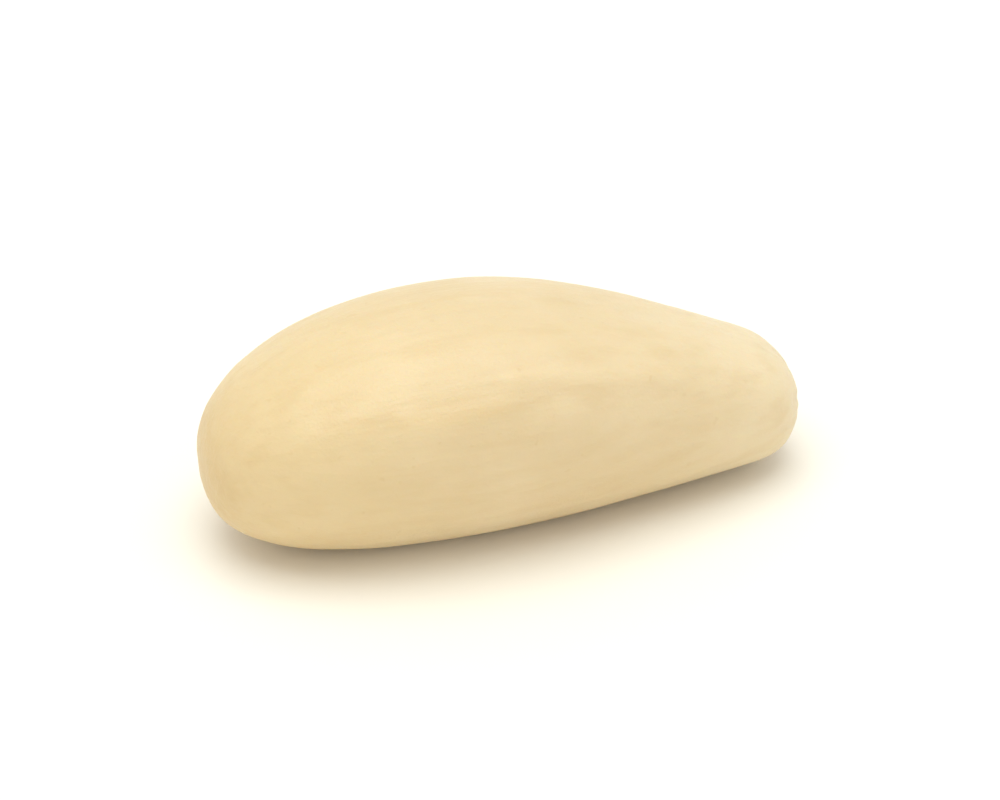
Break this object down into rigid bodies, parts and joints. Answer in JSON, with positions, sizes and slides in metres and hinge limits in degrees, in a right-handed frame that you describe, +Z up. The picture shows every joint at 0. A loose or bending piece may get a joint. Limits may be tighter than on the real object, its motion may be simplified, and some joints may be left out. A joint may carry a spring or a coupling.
{
  "type": "pine nut",
  "caption": "Shelled pine nut kernel: a cream teardrop with a broad round end, soft ridges and a blunt, narrow tip, lying on its side.",
  "frame": {"origin": "middle of the base of the bounding box, on the surface that the kernel lies on", "axes": "+X along the kernel from the broad round end to the narrow tip, +Z up, -Y towards the ridged front side"},
  "size_m": [0.0126, 0.0056, 0.0049],
  "materials": {
    "kernel_flesh": "satin, slightly waxy cream flesh with an ochre tint at the narrow tip"
  },
  "bodies": {
    "root": {"kernel": "kernel_flesh"}
  },
  "joints": []
}
